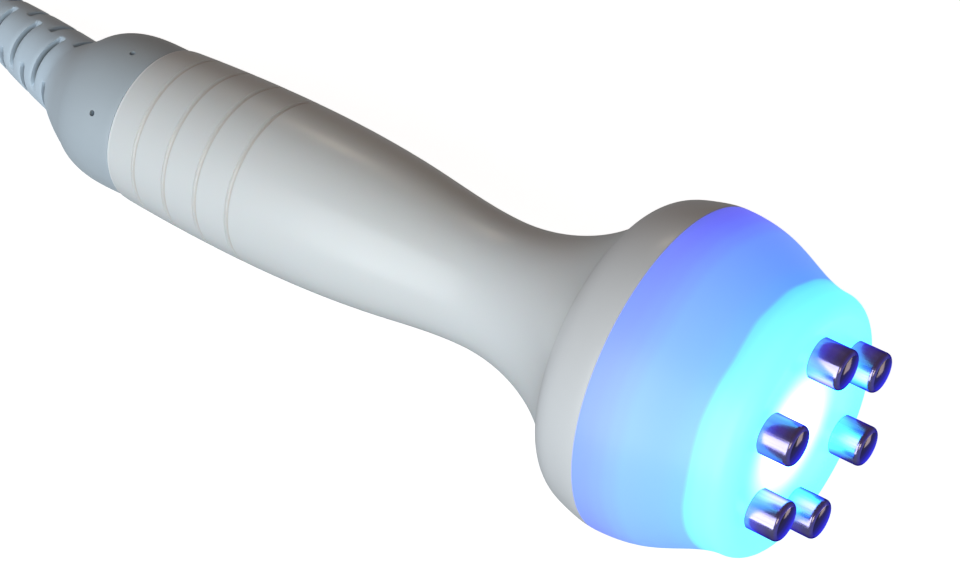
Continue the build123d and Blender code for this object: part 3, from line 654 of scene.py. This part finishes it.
def bendPlace(shape, s):
    # centre and turn of the boot's middle line at the place s
    bend, radius = math.radians(shape["bendDeg"]), shape["bendR"]
    reach = radius * math.tan(bend / 2)
    if s >= reach:
        return Vector((shape["bend"] + s, 0, 0)), 0.0
    if s <= -reach:
        return Vector((shape["bend"] + s * math.cos(bend), -s * math.sin(bend), 0)), bend
    turn = bend * (reach - s) / (2 * reach)
    x = shape["bend"] + reach - radius * math.sin(turn)
    return Vector((x, radius - radius * math.cos(turn), 0)), turn


def slotStations(shape):
    wall, lip = shape["slotHalf"], shape["slotRound"]
    offsets = [wall + step * lip for step in shape["slotSteps"]] + [shape["slotMiddle"]]
    places = []
    for i in range(shape["slots"]):
        along = shape["slotFirst"] + i * shape["slotPitch"]
        for off in offsets:
            places += [-(along - off), -(along + off)]
    return places


def bootRings(shape):
    bulbIn, bulbOut = shape["bulbSlopes"]
    reliefIn, reliefOut = shape["reliefSlopes"]
    bulb = smoothRun(shape["bulb"], (-1, bulbIn), (-1, bulbOut), shape["bulbGap"])
    root = smoothRun(shape["root"], (-1, bulbOut), (-1, reliefIn), shape["rootGap"])
    relief = smoothRun(shape["relief"], (-1, reliefIn), (-1, reliefOut), shape["reliefGap"])
    line = bulb[1:] + root[1:] + relief[1:]
    ss, rs = [s for s, r in line][::-1], [r for s, r in line][::-1]
    cuts = slotStations(shape)
    stations = [(s, r) for s, r in line if min(abs(s - c) for c in cuts) > shape["slotClear"]]
    stations += [(s, float(np.interp(s, ss, rs))) for s in cuts]
    stations.sort(reverse=True)
    front, end, tip = shape["frontEdge"], shape["endEdge"], -shape["length"]
    sFront, rFront = shape["bulb"][0]
    rEnd = shape["relief"][-1][1]
    rings = [(sFront, rFront - front)]
    for a in shape["frontEdgeTurns"]:
        rings.append((sFront - front + front * math.cos(a), rFront - front + front * math.sin(a)))
    rings += [(sFront - front, rFront)] + [(s, r) for s, r in stations if s < shape["firstStation"]]
    for a in shape["endEdgeTurns"]:
        rings.append((tip + end - end * math.sin(a), rEnd - end + end * math.cos(a)))
    rings += [(s, shape["cableR"]) for s in (tip, *shape["boreStations"])]
    return rings + shape["cavity"] + [rings[0]]


def makeBoot(shape):
    # a circle is drawn out ring by ring along the bent middle line
    rings = bootRings(shape)
    radius = rings[0][1]
    centre, turned = bendPlace(shape, rings[0][0])
    bpy.ops.mesh.primitive_circle_add(
        vertices=shape["sides"], radius=radius * mm, location=centre * mm, rotation=(0, math.pi / 2, 0))
    boot = bpy.context.active_object
    boot.name = "boot"
    settle(boot)
    editOn(boot)
    bpy.ops.mesh.select_all(action="SELECT")
    for s, nextRadius in rings[1:]:
        nextCentre, nextTurn = bendPlace(shape, s)
        bpy.ops.mesh.extrude_region_move(TRANSFORM_OT_translate={"value": (nextCentre - centre) * mm})
        turn = nextTurn - turned
        if abs(turn) > shape["leastTurn"]:
            bpy.ops.transform.rotate(value=turn, orient_axis="Z", center_override=nextCentre * mm)
        grow = nextRadius / radius
        bpy.ops.transform.resize(value=(grow, grow, grow), center_override=nextCentre * mm)
        centre, turned, radius = nextCentre, nextTurn, nextRadius
    closeMesh()
    return boot


def pickPoints(piece, inside):
    mesh = bmesh.from_edit_mesh(piece.data)
    for v in mesh.verts:
        v.select = inside(v.co / mm)
    mesh.select_flush_mode()
    bmesh.update_edit_mesh(piece.data)


def inSlot(p, slot, reach, height):
    # measured along the relief, out toward the slot and across it
    p = p - slot["corner"]
    outer = math.hypot(p.dot(slot["out"]), p.dot(slot["across"])) > slot["core"]
    return outer and abs(p.dot(slot["along"]) - slot["at"]) < reach and p.dot(slot["out"]) > height


def pressSlot(boot, shape, slot, level):
    # the slot is scaled flat onto its floor, and its lips are let down a little
    wall = shape["slotHalf"] + shape["slotWall"] * shape["slotRound"]
    lip = shape["slotHalf"] + shape["slotLip"] * shape["slotRound"]
    rim = level + shape["slotRim"]
    along, across, out = slot["along"], slot["across"], slot["out"]
    pickPoints(boot, lambda p: inSlot(p, slot, wall, level))
    bpy.ops.transform.resize(
        value=(1, 1, 0), orient_matrix=(along, across, out), orient_matrix_type="GLOBAL",
        center_override=(slot["corner"] + along * slot["at"] + out * level) * mm)
    pickPoints(boot, lambda p: inSlot(p, slot, lip, rim) and not inSlot(p, slot, wall, level))
    bpy.ops.transform.translate(value=-out * shape["slotSoft"] * mm)


def cutSlots(boot, shape):
    bend = math.radians(shape["bendDeg"])
    along = Vector((-math.cos(bend), math.sin(bend), 0))
    side = Vector((math.sin(bend), math.cos(bend), 0))
    up = Vector((0, 0, 1))
    rootR, endR = shape["slotSkin"]
    slot = {"corner": Vector((shape["bend"], 0, 0)), "along": along, "core": shape["slotCore"]}
    editOn(boot)
    bpy.ops.mesh.select_mode(type="VERT")
    for i in range(shape["slots"]):
        slot["at"] = shape["slotFirst"] + i * shape["slotPitch"]
        skin = rootR + (endR - rootR) * slot["at"] / shape["length"]
        level = max(skin * math.cos(math.radians(shape["slotHalfDeg"][i % 2])), shape["slotFloor"])
        for half in (0, 180):
            turn = math.radians(shape["slotDeg"][i % 2] + half)
            slot["out"] = side * math.cos(turn) + up * math.sin(turn)
            slot["across"] = along.cross(slot["out"])
            pressSlot(boot, shape, slot, level)
    editOff()


def piercePins(boot, shape):
    for deg in shape["pinDeg"]:
        a = math.radians(deg)
        out = Vector((0, math.cos(a), math.sin(a)))
        middle = Vector((shape["pinX"], 0, 0)) + out * shape["pinSkin"]
        bpy.ops.mesh.primitive_cylinder_add(
            vertices=shape["pinSides"], radius=shape["pinR"] * mm, depth=2 * shape["pinDepth"] * mm,
            location=middle * mm, rotation=(a - math.pi / 2, 0, 0))
        cutWith(boot, bpy.context.active_object)


def finishBoot(boot, shape):
    cutSlots(boot, shape)
    piercePins(boot, shape)
    boot.data.materials.append(bootFinish)
    smooth(boot, shape["smoothDeg"])
    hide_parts("tail_boot")
    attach(boot, "root")


finishBoot(makeBoot(bootShape), bootShape)
print("boot drawn, slotted and pierced")


# Finishes of the pieces inside, each with the pieces that carry it

insideLooks = {
    "zincSteel": {
        "nodes": [
            "cup_screws", "electrode_washers", "electrode_nuts",
            "board_screws", "terminal_screws", "clamp_screws",
        ],
        "colour": (0.62, 0.62, 0.65), "shade": (0.50, 0.50, 0.53), "cloud": 260.0, "grain": 2400.0,
        "rough": (0.24, 0.40), "bump": 0.2, "depth": 0.01, "sockets": {"Metallic": 1.0},
    },
    "pressedBrass": {
        "nodes": ["ring_terminals"],
        "colour": (0.78, 0.60, 0.30), "shade": (0.64, 0.48, 0.24), "cloud": 240.0, "grain": 2200.0,
        "rough": (0.24, 0.40), "bump": 0.2, "depth": 0.01, "sockets": {"Metallic": 1.0},
    },
    "sealRubber": {
        "nodes": ["head_gasket", "lens_seal", "electrode_seals", "tail_seal"],
        "colour": (0.075, 0.08, 0.09), "shade": (0.05, 0.055, 0.06), "cloud": 120.0, "grain": 1800.0,
        "rough": (0.55, 0.70), "bump": 0.3, "depth": 0.03,
    },
    "turnedNylon": {
        "nodes": ["electrode_spacers", "led_header", "led_plug", "lead_header", "lead_plug"],
        "colour": (0.80, 0.78, 0.72), "shade": (0.72, 0.70, 0.64), "cloud": 150.0, "grain": 1800.0,
        "rough": (0.42, 0.55), "bump": 0.2, "depth": 0.02,
    },
    "boardGreen": {
        "nodes": ["led_board", "junction_board"],
        "colour": (0.020, 0.16, 0.06), "shade": (0.014, 0.11, 0.045), "cloud": 420.0, "grain": 3000.0,
        "rough": (0.28, 0.42), "bump": 0.35, "depth": 0.02, "sockets": {"Coat Weight": 0.3},
    },
    "ledResin": {
        "nodes": ["leds"],
        "colour": (0.88, 0.88, 0.82), "shade": (0.80, 0.80, 0.72), "cloud": 300.0, "grain": 2200.0,
        "rough": (0.25, 0.40), "bump": 0.1, "depth": 0.01,
        "sockets": {"Emission Color": (0.35, 0.75, 1.0, 1), "Emission Strength": 0.8},
    },
    "blackEpoxy": {
        "nodes": ["led_resistors", "smoothing_capacitor", "driver_chip"],
        "colour": (0.022, 0.022, 0.026), "shade": (0.034, 0.034, 0.038), "cloud": 260.0, "grain": 2600.0,
        "rough": (0.42, 0.58), "bump": 0.25, "depth": 0.015,
    },
    "filmYellow": {
        "nodes": ["coupling_capacitors"],
        "colour": (0.70, 0.42, 0.06), "shade": (0.58, 0.34, 0.05), "cloud": 180.0, "grain": 1600.0,
        "rough": (0.22, 0.36), "bump": 0.15, "depth": 0.02, "sockets": {"Coat Weight": 0.3},
    },
    "blockGreen": {
        "nodes": ["cable_terminals"],
        "colour": (0.03, 0.26, 0.09), "shade": (0.025, 0.21, 0.075), "cloud": 200.0, "grain": 1800.0,
        "rough": (0.38, 0.50), "bump": 0.2, "depth": 0.02,
    },
    "carrierGrey": {
        "nodes": ["board_carrier", "tail_plug", "cable_clamp"],
        "colour": (0.12, 0.125, 0.135), "shade": (0.10, 0.104, 0.112), "cloud": 90.0, "grain": 1500.0,
        "rough": (0.45, 0.60), "bump": 0.3, "depth": 0.03,
    },
    "wireRed": {
        "nodes": ["led_lead_2"] + [f"electrode_lead_{i}" for i in electrodeNumbers],
        "colour": (0.48, 0.025, 0.02), "shade": (0.38, 0.02, 0.016), "cloud": 130.0, "grain": 1800.0,
        "rough": (0.38, 0.52), "bump": 0.15, "depth": 0.02,
    },
    "wireBlack": {
        "nodes": ["led_lead_1"],
        "colour": (0.02, 0.02, 0.022), "shade": (0.03, 0.03, 0.032), "cloud": 130.0, "grain": 1800.0,
        "rough": (0.38, 0.52), "bump": 0.15, "depth": 0.02,
    },
}

# The solids that the outside pieces stand in for carry the same finishes
hiddenShells = {
    "handle_shell": handleFinish, "head_cup": cupFinish, "lens_cover": glowFinish, "tail_boot": bootFinish,
    **{f"electrode_{i}": steelFinish for i in electrodeNumbers},
}


def dressNode(node, material):
    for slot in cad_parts[node].material_slots:
        slot.material = material


def finishInside(looks, shells):
    for name, look in looks.items():
        material = mouldedFinish(name, look)
        for node in look["nodes"]:
            dressNode(node, material)
    for node, material in shells.items():
        dressNode(node, material)


finishInside(insideLooks, hiddenShells)
print("inside pieces finished")


# Floor and light: the handpiece lies on its head's rim and its boot, so the floor leans with it

studio = {
    "floorTilt": 0.1180, "floorTouch": (-35.2, -33.15), "floorSize": 5.0, "floorGap": 0.0002,
    "floorColour": (0.45, 0.45, 0.45), "floorGlow": 0.92,
    "backdropRadius": 2.4, "backdropSides": 96, "backdropRings": 48, "backdropGlow": 0.92,
    "roomLow": (0.20, 0.21, 0.22), "roomHigh": (0.125, 0.092, 0.075), "roomBlend": (0.42, 0.56),
    "aim": (-0.085, 0.0, 0.0),
    "lamps": [
        {
            "name": "keyPanel", "from": (0.05, -0.978, 0.23), "far": 0.9, "size": 1.0,
            "colour": (0.93, 1.0, 1.04), "power": 9.6, "mirrored": True,
        },
        {
            "name": "backPanel", "from": (-0.08, 0.87, -0.48), "far": 1.0, "size": 0.9,
            "colour": (0.99, 0.98, 0.97), "power": 5.0, "mirrored": False,
        },
        {
            "name": "frontLamp", "from": (0.875, -0.43, 0.22), "far": 0.7, "size": 0.20,
            "colour": (1.0, 0.92, 0.50), "power": 0.40, "mirrored": True,
        },
        {
            "name": "tipLamp", "from": (0.6372, 0.6061, -0.4763), "far": 0.95, "size": 0.16,
            "colour": (1.0, 0.87, 0.72), "power": 0.27, "mirrored": True,
        },
        {
            "name": "ridgeLamp", "from": (-0.47, 0.50, 0.72), "far": 0.8, "size": 0.13,
            "colour": (1.0, 0.84, 0.66), "power": 0.24, "mirrored": True,
        },
    ],
}
paperLook = {"grain": 500.0, "grainDetail": 2.0, "bump": 0.05, "depth": 0.05, "rough": 0.9}


def addPanel(lamp, aim):
    source = aim + Vector(lamp["from"]).normalized() * lamp["far"]
    turn = (source - aim).to_track_quat("Z", "Y").to_euler()
    bpy.ops.object.light_add(type="AREA", location=source, rotation=turn)
    panel = bpy.context.active_object
    panel.name = lamp["name"]
    panel.data.size = lamp["size"]
    panel.data.color = lamp["colour"]
    panel.data.energy = lamp["power"]
    panel.visible_camera = False
    panel.visible_glossy = lamp["mirrored"]


def makeRoom(look):
    # dim warm room above, paler light coming up from below
    world = bpy.data.worlds.new("studioRoom")
    world.use_nodes = True
    tree = world.node_tree
    place = tree.nodes.new("ShaderNodeTexCoord")
    split = tree.nodes.new("ShaderNodeSeparateXYZ")
    ramp = tree.nodes.new("ShaderNodeValToRGB")
    lift = tree.nodes.new("ShaderNodeMapRange")
    lift.inputs["From Min"].default_value = -1.0  # straight down
    tree.links.new(place.outputs["Generated"], split.inputs["Vector"])
    tree.links.new(split.outputs["Z"], lift.inputs["Value"])
    tree.links.new(lift.outputs[0], ramp.inputs["Fac"])
    low, high = ramp.color_ramp.elements
    low.position, high.position = look["roomBlend"]
    low.color = (*look["roomLow"], 1)
    high.color = (*look["roomHigh"], 1)
    tree.links.new(ramp.outputs["Color"], tree.nodes["Background"].inputs["Color"])
    bpy.context.scene.world = world


def stagePiece(piece, name, material):
    # seen by the camera alone, so that it neither lights nor shades the handpiece
    piece.name = name
    settle(piece)
    piece.data.materials.append(material)
    piece.visible_diffuse = False
    piece.visible_glossy = False
    piece.visible_shadow = False


def palePaper(name, look, colour, glow):
    material, shader = newMaterial(name)
    grain = noiseNode(material, objectPlace(material), look["grain"], look["grainDetail"])
    addBump(material, shader, grain, look["bump"], look["depth"] * mm)
    shader.inputs["Base Color"].default_value = (*colour, 1)
    shader.inputs["Roughness"].default_value = look["rough"]
    shader.inputs["Specular IOR Level"].default_value = 0.0
    shader.inputs["Emission Color"].default_value = (1, 1, 1, 1)
    shader.inputs["Emission Strength"].default_value = glow
    return material


def makeStudio(look, paper):
    tilt = math.atan(look["floorTilt"])
    x, z = look["floorTouch"]
    normal = Vector((math.sin(tilt), 0, math.cos(tilt)))
    middle = Vector((x, 0, z)) * mm - normal * look["floorGap"]
    floorPaper = palePaper("floorPaper", paper, look["floorColour"], look["floorGlow"])
    bpy.ops.mesh.primitive_plane_add(size=look["floorSize"], location=middle, rotation=(0, tilt, 0))
    stagePiece(bpy.context.active_object, "paleFloor", floorPaper)
    backdropPaper = palePaper("backdropPaper", paper, (0, 0, 0), look["backdropGlow"])
    bpy.ops.mesh.primitive_uv_sphere_add(
        segments=look["backdropSides"], ring_count=look["backdropRings"],
        radius=look["backdropRadius"], location=middle)
    stagePiece(bpy.context.active_object, "paleBackdrop", backdropPaper)
    makeRoom(look)
    for lamp in look["lamps"]:
        addPanel(lamp, Vector(look["aim"]))
    bpy.context.scene.view_settings.view_transform = "Standard"


makeStudio(studio, paperLook)
print("floor and light set")
